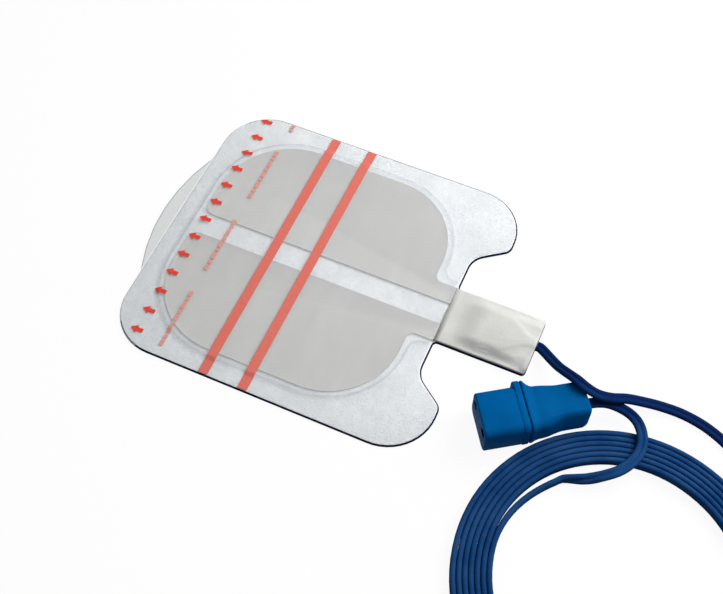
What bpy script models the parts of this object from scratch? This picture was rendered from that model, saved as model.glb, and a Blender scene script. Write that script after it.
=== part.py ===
"""Split electrosurgical return electrode with its flat twin cord and two-pole plug.

Metres, +Z up. The pad lies liner side up on z = 0, its tab at -X and its tail and cord at +X.
The origin is on the floor, under the middle of the pad, its pull tab and its tail.
"""
import bmesh
import bpy
from math import atan2, ceil, cos, pi, radians, sin, tan
from mathutils import Matrix, Vector
from mathutils.geometry import delaunay_2d_cdt

MM = 0.001
ARC_STEP = radians(7.5)

# Pad outline
PAD_LENGTH = 170.0 * MM
PAD_WIDTH = 159.5 * MM
CORNER_RADIUS = 26.0 * MM
EAR_RADIUS = 27.0 * MM
EAR_TIP_RADIUS = 6.0 * MM
NOTCH_DEPTH = 16.3 * MM
NOTCH_WIDTH = 20.0 * MM
NOTCH_FLARE = 12.0 * MM
NOTCH_RADIUS = 11.0 * MM
TAIL_REACH = 30.9 * MM
TAIL_WIDTH = 33.4 * MM
TAIL_RADIUS = 2.0 * MM

# Pull tab of the release liner
TAB_SIDE = 38.5 * MM
TAB_ANGLE = radians(22.0)
TAB_ROOT_RADIUS = 15.0 * MM

# Layers, from the floor up
FOAM_THICK = 1.0 * MM
FOIL_THICK = 0.15 * MM
GEL_THICK = 0.7 * MM
LINER_THICK = 0.25 * MM
LAYER_GAP = 0.1 * MM
COVER_THICK = 0.9 * MM
FIT_GAP = 0.3 * MM
COVER_RISE_START = 5.0 * MM
COVER_FLAT_SIDE = 1.2 * MM
COVER_COLUMNS, COVER_ROWS = 22, 20
WIRE_DRAW_LEAD = 0.1
WIRE_STEPS = 8

# Conductive lobes
GEL_TAB_BORDER = 12.7 * MM
GEL_TAIL_BORDER = 13.5 * MM
GEL_SIDE_BORDER = 13.5 * MM
LOBE_GAP = 13.0 * MM
LOBE_RADIUS = 5.0 * MM
TAB_SIDE_RADIUS = 40.0 * MM
TAIL_SIDE_RADIUS = 38.0 * MM
NECK_WIDTH = 10.0 * MM
NECK_RADIUS = 4.0 * MM
NECK_END_RADIUS = 0.6 * MM
FOIL_INSET = 0.8 * MM

# Formed step of the liner round the lobes
STEP_TOP_OFFSET = 3.0 * MM
STEP_FOOT_OFFSET = 5.2 * MM

# Terminals crimped to the foil
TERMINAL_START = 15.0 * MM
TERMINAL_LENGTH = 9.0 * MM
TERMINAL_WIDTH = 4.4 * MM
TERMINAL_THICK = 0.3 * MM
BARREL_LENGTH = 5.0 * MM
BARREL_WALL = 0.1 * MM
TERMINAL_INWARD = 2.5 * MM

# Flat twin cord, wound on edge in one layer, clockwise inwards from its start to its end angle
CORD_WIDTH = 5.4 * MM
CORD_THICK = 2.7 * MM
CORD_EXIT_Y = 0.5 * MM
COIL_CENTRE = (177.5 * MM, -99.0 * MM)
COIL_RADIUS = 75.0 * MM
COIL_START_ANGLE = radians(31.0)
COIL_END_ANGLE = radians(133.4)
COIL_WHOLE_TURNS = 6
COIL_ROUNDING = 0.8 * MM
COIL_STEPS = 72
CURVE_STEPS = 16

# Paper band round the coil
BAND_WIDTH = 12.0 * MM
BAND_THICK = 0.25 * MM
BAND_ANGLE = radians(-12.0)

# Plug, along its own axis from the face with the sockets
PLUG_FACE = (94.0 * MM, -52.7 * MM)
PLUG_ANGLE = radians(34.4)
BLOCK_LENGTH = 18.8 * MM
BLOCK_WIDTH = 24.0 * MM
BLOCK_THICK = 18.6 * MM
BLOCK_RADIUS = 4.4 * MM
BLOCK_EDGE = 0.8 * MM
FLANGE_LENGTH = 3.0 * MM
FLANGE_FAR_LIP = 2.8 * MM
FLANGE_NEAR_LIP = 0.3 * MM
FLANGE_TOP_LIP = 0.3 * MM
FLANGE_RADIUS = 5.0 * MM
FLANGE_EDGE = 0.25 * MM
COLLAR_LENGTH = 1.2 * MM
COLLAR_EDGE = 0.4 * MM
GRIP_LENGTH = 30.2 * MM
GRIP_ROOT = (22.6 * MM, 16.6 * MM)
GRIP_ROOT_START = 6.0 * MM
GRIP_FLARE_STEPS = 4
GRIP_WAIST = (19.2 * MM, 14.6 * MM)
GRIP_WAIST_START = 17.5 * MM
GRIP_WAIST_STEPS = 5
GRIP_RADIUS = 3.9 * MM
GRIP_END_EDGE = 1.8 * MM
SOCKET_SPACING = 14.4 * MM
SOCKET_RISE = 3.5 * MM
SOCKET_BORE = 4.5 * MM
SOCKET_DEPTH = 14.0 * MM
CONTACT_LENGTH = 11.0 * MM
CONTACT_WALL = 0.5 * MM
CONTACT_SEGMENTS = 16
ROUND_SEGMENTS = 24
SECTION_SEGMENTS = 5
EDGE_STEPS = 3

# Places across the pad
NOTCH_Y = TAIL_WIDTH / 2 + NOTCH_WIDTH
EAR_TIP_Y = NOTCH_Y + NOTCH_FLARE
EAR_CORNER_RADIUS = min(EAR_RADIUS, PAD_WIDTH / 2 - EAR_TIP_Y - EAR_TIP_RADIUS)
GEL_HALF_WIDTH = PAD_WIDTH / 2 - GEL_SIDE_BORDER
TAB_HALF_WIDTH = PAD_WIDTH / 2 - TAB_SIDE

# Places along the pad
TAB_CORNER = TAB_HALF_WIDTH * tan(TAB_ANGLE)
TAB_RADIUS = (TAB_HALF_WIDTH / cos(TAB_ANGLE) - TAB_ROOT_RADIUS * tan(TAB_ANGLE / 2)) / tan(TAB_ANGLE)
TAB_REACH = TAB_CORNER - TAB_RADIUS * (1 / cos(TAB_ANGLE) - 1)
EDGE_X = TAB_REACH - (TAB_REACH + PAD_LENGTH + TAIL_REACH) / 2
EAR_X = EDGE_X + PAD_LENGTH
TAIL_X = EAR_X + TAIL_REACH
NOTCH_X = EAR_X - NOTCH_DEPTH
GEL_X = EDGE_X + GEL_TAB_BORDER
GEL_END_X = NOTCH_X - GEL_TAIL_BORDER
LINER_END_X = NOTCH_X - FIT_GAP
TERMINAL_X = NOTCH_X + TERMINAL_START
TERMINAL_END_X = TERMINAL_X + TERMINAL_LENGTH
NECK_Y = LOBE_GAP / 2 + NECK_WIDTH / 2
SIDE_WIRE_Y = NECK_Y - TERMINAL_INWARD

# Heights of the layers
FOIL_Z = FOAM_THICK + LAYER_GAP
GEL_Z = FOIL_Z + FOIL_THICK + LAYER_GAP
RIM_Z = GEL_Z
LINER_TOP_Z = GEL_Z + GEL_THICK + LAYER_GAP
WIRE_DIAMETER = CORD_WIDTH / 2
WIRE_SPACING = WIRE_DIAMETER + FIT_GAP
WIRE_START_X = TERMINAL_END_X + BARREL_LENGTH + FIT_GAP
WIRE_END_X = TAIL_X - FIT_GAP
WIRE_Z = RIM_Z + TERMINAL_THICK + WIRE_DIAMETER / 2
BARREL_RADIUS = WIRE_DIAMETER / 2 + BARREL_WALL
COVER_RISE = WIRE_Z + BARREL_RADIUS + FIT_GAP - RIM_Z

# Cord heights and coil radii
BAND_ROOM = BAND_THICK + LAYER_GAP
COIL_BASE_Z = BAND_ROOM
COIL_TURNS = COIL_WHOLE_TURNS + 1 - (COIL_END_ANGLE - COIL_START_ANGLE) / (2 * pi)
COIL_INNER_RADIUS = COIL_RADIUS - CORD_THICK * (1 + COIL_TURNS)

# Plug flange, which the plug rests on, wider at one side
FLANGE_WIDTH = BLOCK_WIDTH + FLANGE_FAR_LIP + FLANGE_NEAR_LIP
FLANGE_THICK = BLOCK_THICK + 2 * FLANGE_TOP_LIP
FLANGE_SHIFT = (FLANGE_FAR_LIP - FLANGE_NEAR_LIP) / 2
FLANGE_END = BLOCK_LENGTH + FLANGE_LENGTH
GRIP_START = FLANGE_END + FIT_GAP
PLUG_LENGTH = GRIP_START + GRIP_LENGTH
PLUG_Z = FLANGE_THICK / 2

# Cord route from the tail to the outer turn, millimetres
LEAD_ROUTE = (
    (106.9, 0.3, 3.1),
    (110.1, -2.0, 4.3),
    (114.3, -5.8, 6.9),
    (118.8, -10.0, 10.4),
    (123.8, -14.3, 15.4),
    (129.0, -17.9, 19.2),
    (135.1, -19.9, 18.6),
    (141.3, -18.8, 14.6),
    (147.6, -16.0, 11.2),
    (154.2, -12.1, 8.6),
    (161.8, -8.7, 5.2),
    (170.8, -6.0, 2.4),
    (181.8, -5.4, 1.5),
    (193.8, -7.7, 1.4),
    (206.3, -13.4, 1.6),
    (217.5, -22.2, 2.0),
    (226.4, -31.8, 2.3),
    (233.3, -41.9, 2.6),
    (238.8, -51.6, 2.9),
    (243.2, -59.5, 3.0),
)

# Cord route from the inner turn, over the coil, to the plug, millimetres
PLUG_ROUTE = (
    (141.4, -60.8, 3.0),
    (148.7, -57.1, 4.5),
    (155.6, -53.5, 7.0),
    (161.9, -48.1, 7.8),
    (166.0, -41.3, 7.6),
    (167.6, -34.0, 7.6),
    (166.2, -27.2, 7.8),
    (162.6, -21.9, 8.0),
    (157.8, -18.5, 7.3),
    (151.9, -17.2, 7.2),
    (146.4, -17.9, 8.2),
    (141.6, -20.2, 9.4),
)


def material(name, colour, roughness, metallic=0.0, alpha=1.0):
    finish = bpy.data.materials.new(name)
    finish.use_nodes = True
    shader = finish.node_tree.nodes["Principled BSDF"]
    shader.inputs["Base Color"].default_value = (*colour, 1.0)
    shader.inputs["Roughness"].default_value = roughness
    shader.inputs["Metallic"].default_value = metallic
    shader.inputs["Alpha"].default_value = alpha
    return finish


def link(name, data, finish, smooth_angle=None, parent=None):
    """One named object holding the data, with its material."""
    data.materials.append(finish)
    piece = bpy.data.objects.new(name, data)
    bpy.context.scene.collection.objects.link(piece)
    if smooth_angle is not None:
        data.shade_smooth()
        data.set_sharp_from_angle(angle=smooth_angle)
    if parent is not None:
        piece.parent = parent
    return piece


def mesh_from(bm, name):
    bmesh.ops.recalc_face_normals(bm, faces=bm.faces)
    mesh = bpy.data.meshes.new(name)
    bm.to_mesh(mesh)
    bm.free()
    return mesh


def rounded(corners, offset=0.0, closed=True):
    """Outline through corners (x, y, radius), counter-clockwise, moved outwards by offset."""
    places = [Vector(corner[:2]) for corner in corners]
    count = len(places)
    points = []
    for index, (x, y, radius) in enumerate(corners):
        here = places[index]
        is_end = not closed and index in (0, count - 1)
        before = here - places[index - 1] if index or closed else places[1] - here
        after = places[(index + 1) % count] - here if index < count - 1 or closed else before
        before, after = before.normalized(), after.normalized()
        first_normal = Vector((before.y, -before.x))
        last_normal = Vector((after.y, -after.x))
        moved = here + offset * (first_normal + last_normal) / (1 + first_normal.dot(last_normal))
        turn = atan2(before.cross(after), before.dot(after))
        bend = radius + offset if turn > 0 else radius - offset
        if is_end or bend <= 0:
            points.append(moved)
            continue
        side = 1 if turn > 0 else -1
        start = moved - before * bend * tan(abs(turn) / 2)
        centre = start - first_normal * bend * side
        steps = max(1, ceil(abs(turn) / ARC_STEP))
        for step in range(steps + 1):
            arm = start - centre
            points.append(centre + Matrix.Rotation(turn * step / steps, 2) @ arm)
    return points


def mirrored_half(half):
    """Corners of a whole outline from the half at +Y, listed from +X to -X."""
    return half + [(x, -y, radius) for x, y, radius in reversed(half)]


def pad_corners():
    return mirrored_half([
        (TAIL_X, TAIL_WIDTH / 2, TAIL_RADIUS),
        (NOTCH_X, TAIL_WIDTH / 2, TAIL_RADIUS),
        (NOTCH_X, NOTCH_Y, NOTCH_RADIUS),
        (EAR_X, EAR_TIP_Y, EAR_TIP_RADIUS),
        (EAR_X, PAD_WIDTH / 2, EAR_CORNER_RADIUS),
        (EDGE_X, PAD_WIDTH / 2, CORNER_RADIUS),
    ])


def liner_corners():
    half = [
        (LINER_END_X, NOTCH_Y, NOTCH_RADIUS),
        (EAR_X, EAR_TIP_Y, EAR_TIP_RADIUS),
        (EAR_X, PAD_WIDTH / 2, EAR_CORNER_RADIUS),
        (EDGE_X, PAD_WIDTH / 2, CORNER_RADIUS),
        (EDGE_X, TAB_HALF_WIDTH, TAB_ROOT_RADIUS),
    ]
    tab = [(EDGE_X - TAB_CORNER, 0.0, TAB_RADIUS)]
    return half + tab + [(x, -y, radius) for x, y, radius in reversed(half)]


def neck_outer_y():
    return LOBE_GAP / 2 + NECK_WIDTH


def lobe_corners(neck_end_x):
    """One conductive lobe at +Y, with its neck running out to the tail."""
    return [
        (neck_end_x, LOBE_GAP / 2, NECK_END_RADIUS),
        (neck_end_x, neck_outer_y(), NECK_END_RADIUS),
        (GEL_END_X, neck_outer_y(), NECK_RADIUS),
        (GEL_END_X, GEL_HALF_WIDTH, TAIL_SIDE_RADIUS),
        (GEL_X, GEL_HALF_WIDTH, TAB_SIDE_RADIUS),
        (GEL_X, LOBE_GAP / 2, LOBE_RADIUS),
    ]


def step_line(offset):
    """Open line round both lobes, from the liner's tail edge and back to it."""
    corners = mirrored_half([
        (LINER_END_X, neck_outer_y(), 0.0),
        (GEL_END_X, neck_outer_y(), NECK_RADIUS + STEP_FOOT_OFFSET),
        (GEL_END_X, GEL_HALF_WIDTH, TAIL_SIDE_RADIUS),
        (GEL_X, GEL_HALF_WIDTH, TAB_SIDE_RADIUS),
    ])
    return rounded(corners, offset, closed=False)


def plate(outline, base_z, thick):
    """Flat sheet with the given outline."""
    bm = bmesh.new()
    bm.faces.new([bm.verts.new((point.x, point.y, base_z)) for point in outline])
    raise_copy(bm, thick)
    return bm


def raise_copy(bm, thick):
    """Close a one-sided sheet into a solid by a copy moved straight up."""
    result = bmesh.ops.extrude_face_region(bm, geom=list(bm.faces))
    upper = [item for item in result["geom"] if isinstance(item, bmesh.types.BMVert)]
    bmesh.ops.translate(bm, verts=upper, vec=(0.0, 0.0, thick))


def turned(profile, steps=ROUND_SEGMENTS):
    """Closed ring of profile points (radius, z) turned about Z."""
    bm = bmesh.new()
    ring = [bm.verts.new((radius, 0.0, z)) for radius, z in profile]
    edges = [bm.edges.new((ring[i - 1], ring[i])) for i in range(len(ring))]
    bmesh.ops.spin(
        bm, geom=ring + edges, cent=(0, 0, 0), axis=(0, 0, 1), angle=2 * pi, steps=steps, use_merge=True
    )
    bmesh.ops.remove_doubles(bm, verts=bm.verts, dist=0.001 * MM)
    return bm


def section(along, width, thick, radius, shift=0.0):
    """Rounded rectangle across the plug's axis, its middle moved sideways by shift."""
    corners = [
        (width / 2, -thick / 2, radius),
        (width / 2, thick / 2, radius),
        (-width / 2, thick / 2, radius),
        (-width / 2, -thick / 2, radius),
    ]
    points = []
    for x, y, bend in corners:
        centre = Vector((x - bend * (1 if x > 0 else -1), y - bend * (1 if y > 0 else -1)))
        first = atan2(y, x) // (pi / 2) * (pi / 2)
        for step in range(SECTION_SEGMENTS + 1):
            angle = first + pi / 2 * step / SECTION_SEGMENTS
            points.append((along, shift + centre.x + bend * cos(angle), centre.y + bend * sin(angle)))
    return points


def rounded_end(face, inwards, width, thick, radius, edge, shift=0.0):
    """Sections from a flat end at face, over its rounded edge, to the full size."""
    sections = []
    for step in range(EDGE_STEPS + 1):
        angle = pi / 2 * step / EDGE_STEPS
        inset = edge * (1 - sin(angle))
        along = face + inwards * edge * (1 - cos(angle))
        sections.append(section(along, width - 2 * inset, thick - 2 * inset, radius - inset, shift))
    return sections


def loft(sections):
    """Closed body through equal sections, with flat ends."""
    bm = bmesh.new()
    loops = [[bm.verts.new(point) for point in points] for points in sections]
    for lower, upper in zip(loops, loops[1:]):
        for i in range(len(lower)):
            bm.faces.new((lower[i - 1], lower[i], upper[i], upper[i - 1]))
    bm.faces.new(loops[0])
    bm.faces.new(loops[-1])
    return bm


def smooth_route(route, spacing):
    """Points at an even spacing on a smooth curve through a route in millimetres."""
    knots = [Vector(point) * MM for point in route]
    knots = [2 * knots[0] - knots[1]] + knots + [2 * knots[-1] - knots[-2]]
    fine = []
    for a, b, c, d in zip(knots, knots[1:], knots[2:], knots[3:]):
        for step in range(CURVE_STEPS):
            t = step / CURVE_STEPS
            fine.append(
                0.5 * (2 * b + (c - a) * t + (2 * a - 5 * b + 4 * c - d) * t**2
                       + (3 * b - a - 3 * c + d) * t**3)
            )
    fine.append(knots[-2])
    lengths = [(q - p).length for p, q in zip(fine, fine[1:])]
    count = max(2, round(sum(lengths) / spacing))
    wanted = sum(lengths) / count
    points, run = [fine[0]], 0.0
    for start, end, length in zip(fine, fine[1:], lengths):
        while len(points) < count and run + length >= wanted * len(points):
            share = (wanted * len(points) - run) / length
            points.append(start.lerp(end, share))
        run += length
    return points + [fine[-1]]


def tube(name, points, diameter, finish):
    """Round tube along a line of points, with closed ends."""
    curve = bpy.data.curves.new(name, "CURVE")
    curve.dimensions = "3D"
    curve.bevel_depth = diameter / 2
    curve.bevel_resolution = 2
    curve.use_fill_caps = True
    spline = curve.splines.new("POLY")
    spline.points.add(len(points) - 1)
    for place, point in zip(spline.points, points):
        place.co = (*point, 1.0)
    return link(name, curve, finish)


def make_pad(foam, foil, gel):
    """Foam backing, and on it the foil and the gel of both lobes."""
    link("backing_foam", mesh_from(plate(rounded(pad_corners()), 0.0, FOAM_THICK), "backing_foam"), foam)
    foil_outline = rounded(lobe_corners(TERMINAL_END_X), -FOIL_INSET)
    gel_outline = rounded(lobe_corners(LINER_END_X))
    for side, sign in (("left", 1), ("right", -1)):
        for name, outline, base_z, thick, finish in (
            ("foil_" + side, foil_outline, FOIL_Z, FOIL_THICK, foil),
            ("gel_" + side, gel_outline, GEL_Z, GEL_THICK, gel),
        ):
            placed = [Vector((point.x, sign * point.y)) for point in outline]
            link(name, mesh_from(plate(placed, base_z, thick), name), finish)


def make_liner(film):
    """Thin release liner: flat rim and pull tab, and a formed step up over the gel."""
    outline = rounded(liner_corners())
    foot = step_line(STEP_FOOT_OFFSET)
    top = step_line(STEP_TOP_OFFSET)
    points, edges = [], []
    for line, closed in ((outline, True), (foot, False), (top, False)):
        first = len(points)
        points += line
        edges += [(i, i + 1) for i in range(first, len(points) - 1)]
        if closed:
            edges.append((len(points) - 1, first))
    flat, _, faces, origins, _, _ = delaunay_2d_cdt(points, edges, [], 1, 0.001 * MM)
    raised = set(range(len(outline) + len(foot), len(points)))
    bm = bmesh.new()
    verts = []
    for place, sources in zip(flat, origins):
        z = LINER_TOP_Z if raised & set(sources) else RIM_Z
        verts.append(bm.verts.new((place.x, place.y, z)))
    for face in faces:
        bm.faces.new([verts[i] for i in face])
    raise_copy(bm, LINER_THICK)
    link("release_liner", mesh_from(bm, "release_liner"), film, smooth_angle=radians(20))


def ease(value):
    """Smooth step from 0 to 1."""
    value = min(max(value, 0.0), 1.0)
    return value * value * (3 - 2 * value)


def wires_drawn_in(x):
    """How far the wires have come together at x, from 0 by the terminals to 1 by the cord."""
    share = (x - WIRE_START_X) / (WIRE_END_X - WIRE_START_X)
    return ease((1 + 2.5 * WIRE_DRAW_LEAD) * share - WIRE_DRAW_LEAD)


def make_tail_cover(foam):
    """Foam patch on the tail, raised over terminals and wires, its bulge narrowing to the cord."""
    rise_length = TERMINAL_START + TERMINAL_LENGTH / 2 - COVER_RISE_START
    fall_width = TAIL_WIDTH / 2 - COVER_FLAT_SIDE - SIDE_WIRE_Y
    bm = bmesh.new()
    bmesh.ops.create_grid(bm, x_segments=COVER_COLUMNS, y_segments=COVER_ROWS, size=0.5)
    for vert in bm.verts:
        x = NOTCH_X + (vert.co.x + 0.5) * (TAIL_X - NOTCH_X)
        y = vert.co.y * TAIL_WIDTH
        drawn_in = wires_drawn_in(x)
        bulge_half = SIDE_WIRE_Y * (1 - drawn_in) + WIRE_SPACING / 2 * drawn_in
        along = ease((x - NOTCH_X - COVER_RISE_START) / rise_length)
        across = 1 - ease((abs(y - CORD_EXIT_Y * drawn_in) - bulge_half) / fall_width)
        vert.co = (x, y, RIM_Z + COVER_RISE * along * across)
    raise_copy(bm, COVER_THICK)
    link("tail_cover", mesh_from(bm, "tail_cover"), foam, smooth_angle=radians(40))


def make_terminals(metal):
    """Crimp terminals: a plate on each foil neck, its barrel closed on the wire."""
    for side, sign in (("left", 1), ("right", -1)):
        name = "terminal_" + side
        low, high = TERMINAL_X, TERMINAL_END_X
        half = TERMINAL_WIDTH / 2
        spine = WIRE_DIAMETER / 4
        outline = [
            Vector((low, NECK_Y - half)),
            Vector((high, SIDE_WIRE_Y - spine)),
            Vector((high + BARREL_LENGTH, SIDE_WIRE_Y - spine)),
            Vector((high + BARREL_LENGTH, SIDE_WIRE_Y + spine)),
            Vector((high, NECK_Y + half / 2)),
            Vector((low, NECK_Y + half)),
        ]
        placed = [Vector((point.x, sign * point.y)) for point in outline]
        tongue = link(name, mesh_from(plate(placed, RIM_Z, TERMINAL_THICK), name), metal)
        barrel = bmesh.new()
        place = Matrix.Translation((high + BARREL_LENGTH / 2, sign * SIDE_WIRE_Y, WIRE_Z))
        bmesh.ops.create_cone(
            barrel, cap_ends=True, segments=ROUND_SEGMENTS // 2, radius1=BARREL_RADIUS,
            radius2=BARREL_RADIUS, depth=BARREL_LENGTH,
            matrix=place @ Matrix.Rotation(pi / 2, 4, "Y"),
        )
        crimp = link(name + "_barrel", mesh_from(barrel, name + "_barrel"), metal)
        crimp.hide_render = True
        crimp.display_type = "WIRE"
        union = tongue.modifiers.new("barrel", "BOOLEAN")
        union.operation = "UNION"
        union.object = crimp


def make_wires(sheath):
    """The two conductors, split inside the tail and led to their terminals."""
    for side, sign in (("left", 1), ("right", -1)):
        route = []
        for step in range(WIRE_STEPS + 1):
            x = WIRE_START_X + (WIRE_END_X - WIRE_START_X) * step / WIRE_STEPS
            drawn_in = wires_drawn_in(x)
            by_cord = CORD_EXIT_Y + sign * WIRE_SPACING / 2
            y = sign * SIDE_WIRE_Y * (1 - drawn_in) + by_cord * drawn_in
            route.append(Vector((x, y, WIRE_Z)) / MM)
        tube("wire_" + side, smooth_route(route, WIRE_DIAMETER / 2), WIRE_DIAMETER, sheath)


def make_cord(sheath):
    """Cord to the coil and on to the plug, with the coil as one turned ring."""
    exit_point = Vector((TAIL_X + FIT_GAP, CORD_EXIT_Y, WIRE_Z)) / MM
    straight = Vector((FIT_GAP / MM, 0.0, 0.0))
    lead = (exit_point, exit_point + straight) + LEAD_ROUTE
    tube("cable_lead", smooth_route(lead, 2 * CORD_THICK), CORD_THICK, sheath)

    axis = Vector((cos(PLUG_ANGLE), sin(PLUG_ANGLE)))
    rear = (Vector(PLUG_FACE) + axis * (PLUG_LENGTH + FIT_GAP)) / MM
    run = PLUG_ROUTE + ((rear.x, rear.y, PLUG_Z / MM),)
    tube("cable_plug_run", smooth_route(run, 2 * CORD_THICK), CORD_THICK, sheath)

    low, high = COIL_BASE_Z, COIL_BASE_Z + CORD_WIDTH
    inner, outer, rim = COIL_INNER_RADIUS, COIL_RADIUS, COIL_ROUNDING
    profile = [
        (inner + rim, low), (outer - rim, low), (outer, low + rim), (outer, high - rim),
        (outer - rim, high), (inner + rim, high), (inner, high - rim), (inner, low + rim),
    ]
    ring = link("cable_coil", mesh_from(turned(profile, COIL_STEPS), "cable_coil"), sheath, radians(30))
    ring.location = (*COIL_CENTRE, 0.0)


def make_band(paper):
    """Paper band closed round the coil's turns, a sleeve with the coil's section."""
    room = BAND_ROOM - BAND_THICK
    outer, inner = COIL_RADIUS, COIL_INNER_RADIUS
    hole_width = outer - inner + 2 * room + sagitta(outer, BAND_WIDTH)
    hole_height = CORD_WIDTH + 2 * room
    middle = (outer + inner - sagitta(inner, BAND_WIDTH)) / 2
    bm = bmesh.new()
    rings = []
    for along in (-BAND_WIDTH / 2, BAND_WIDTH / 2):
        for grow in (0.0, BAND_THICK):
            points = section(along, hole_width + 2 * grow, hole_height + 2 * grow, COIL_ROUNDING + grow)
            rings.append([bm.verts.new(point) for point in points])
    for a, b in ((0, 1), (1, 3), (3, 2), (2, 0)):
        for i in range(len(rings[a])):
            bm.faces.new((rings[a][i - 1], rings[a][i], rings[b][i], rings[b][i - 1]))
    bmesh.ops.rotate(bm, verts=bm.verts, cent=(0, 0, 0), matrix=Matrix.Rotation(pi / 2, 3, "Z"))
    bmesh.ops.translate(bm, verts=bm.verts, vec=(middle, 0.0, COIL_BASE_Z + CORD_WIDTH / 2))
    band = link("coil_band", mesh_from(bm, "coil_band"), paper, radians(40))
    band.location = (*COIL_CENTRE, 0.0)
    band.rotation_euler.z = BAND_ANGLE


def sagitta(radius, chord):
    """How far a circle falls back over a straight width across it."""
    return radius - (radius**2 - (chord / 2) ** 2) ** 0.5


def make_plug(hard, soft, metal):
    """Moulded plug: socket block with its flange, waisted grip and two spring contacts."""
    axis = bpy.data.objects.new("plug_axis", None)
    bpy.context.scene.collection.objects.link(axis)
    axis.location = (*PLUG_FACE, PLUG_Z)
    axis.rotation_euler.z = PLUG_ANGLE

    block_size = (BLOCK_WIDTH, BLOCK_THICK, BLOCK_RADIUS)
    flange_size = (FLANGE_WIDTH, FLANGE_THICK, FLANGE_RADIUS)
    block = rounded_end(0.0, 1, *block_size, BLOCK_EDGE)
    block.append(section(BLOCK_LENGTH, *block_size))
    block += rounded_end(BLOCK_LENGTH, 1, *flange_size, FLANGE_EDGE, FLANGE_SHIFT)
    block += reversed(rounded_end(FLANGE_END, -1, *flange_size, COLLAR_EDGE, FLANGE_SHIFT))
    insert = link("plug_insert", mesh_from(loft(block), "plug_insert"), hard, radians(30), axis)

    grip = rounded_end(GRIP_START, 1, *flange_size, COLLAR_EDGE, FLANGE_SHIFT)
    for step in range(GRIP_FLARE_STEPS + 1):
        share = step / GRIP_FLARE_STEPS
        spread = (1 - share) ** 2
        width, thick = (
            root + (wide - root) * spread for root, wide in zip(GRIP_ROOT, (FLANGE_WIDTH, FLANGE_THICK))
        )
        along = GRIP_START + COLLAR_LENGTH + share * (GRIP_ROOT_START - COLLAR_LENGTH)
        radius = GRIP_RADIUS + (FLANGE_RADIUS - GRIP_RADIUS) * spread
        grip.append(section(along, width, thick, radius, FLANGE_SHIFT * spread))
    for step in range(1, GRIP_WAIST_STEPS + 1):
        share = step / GRIP_WAIST_STEPS
        width, thick = (root + (waist - root) * ease(share) for root, waist in zip(GRIP_ROOT, GRIP_WAIST))
        along = GRIP_START + GRIP_ROOT_START + share * (GRIP_WAIST_START - GRIP_ROOT_START)
        grip.append(section(along, width, thick, GRIP_RADIUS))
    grip += reversed(rounded_end(PLUG_LENGTH, -1, *GRIP_WAIST, GRIP_RADIUS, GRIP_END_EDGE))
    link("plug_grip", mesh_from(loft(grip), "plug_grip"), soft, radians(50), axis)

    for side, sign in (("left", 1), ("right", -1)):
        socket = Matrix.Translation((0.0, sign * SOCKET_SPACING / 2, SOCKET_RISE))
        bore = bmesh.new()
        bmesh.ops.create_cone(
            bore, cap_ends=True, segments=ROUND_SEGMENTS, radius1=SOCKET_BORE / 2,
            radius2=SOCKET_BORE / 2, depth=2 * SOCKET_DEPTH,
            matrix=socket @ Matrix.Rotation(pi / 2, 4, "Y"),
        )
        cutter = link("socket_cutter_" + side, mesh_from(bore, "socket_cutter"), hard, parent=axis)
        cutter.hide_render = True
        cutter.display_type = "WIRE"
        cut = insert.modifiers.new("socket_" + side, "BOOLEAN")
        cut.operation = "DIFFERENCE"
        cut.object = cutter

        outer = SOCKET_BORE / 2 - FIT_GAP
        inner = outer - CONTACT_WALL
        start = SOCKET_DEPTH - FIT_GAP - CONTACT_LENGTH
        lead_in = CONTACT_WALL / 2
        profile = [
            (inner, 0.0), (outer, 0.0), (outer, CONTACT_LENGTH - lead_in),
            (outer - lead_in, CONTACT_LENGTH), (inner + lead_in / 2, CONTACT_LENGTH),
            (inner, CONTACT_LENGTH - lead_in),
        ]
        bm = turned(profile, CONTACT_SEGMENTS)
        bmesh.ops.rotate(bm, verts=bm.verts, cent=(0, 0, 0), matrix=Matrix.Rotation(-pi / 2, 3, "Y"))
        contact = link("contact_" + side, mesh_from(bm, "contact"), metal, radians(40), axis)
        contact.location = (start + CONTACT_LENGTH, sign * SOCKET_SPACING / 2, SOCKET_RISE)


def main():
    for old in list(bpy.data.objects):
        bpy.data.objects.remove(old, do_unlink=True)
    foam = material("white_foam", (0.83, 0.84, 0.84), 0.85)
    cover_foam = material("cover_foam", (0.72, 0.73, 0.70), 0.9)
    foil = material("aluminium_foil", (0.75, 0.76, 0.77), 0.3, metallic=1.0)
    gel = material("grey_gel", (0.56, 0.56, 0.54), 0.35)
    film = material("clear_film", (0.85, 0.88, 0.9), 0.15, alpha=0.35)
    tin = material("tinned_brass", (0.7, 0.68, 0.62), 0.35, metallic=1.0)
    sheath = material("blue_cord", (0.012, 0.06, 0.2), 0.45)
    hard_blue = material("blue_moulding", (0.0, 0.1, 0.3), 0.4)
    soft_blue = material("blue_grip", (0.0, 0.09, 0.28), 0.5)
    paper = material("white_paper", (0.85, 0.85, 0.83), 0.8)
    make_pad(foam, foil, gel)
    make_liner(film)
    make_tail_cover(cover_foam)
    make_terminals(tin)
    make_wires(sheath)
    make_cord(sheath)
    make_band(paper)
    make_plug(hard_blue, soft_blue, tin)


main()
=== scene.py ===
"""Looks of the split return electrode: formed film liner, gel lobes, foam, flat twin cord and plug."""
from math import copysign, cos, pi, radians, sin, sqrt

import bmesh
import bpy
from mathutils import Matrix, Vector, noise


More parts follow.
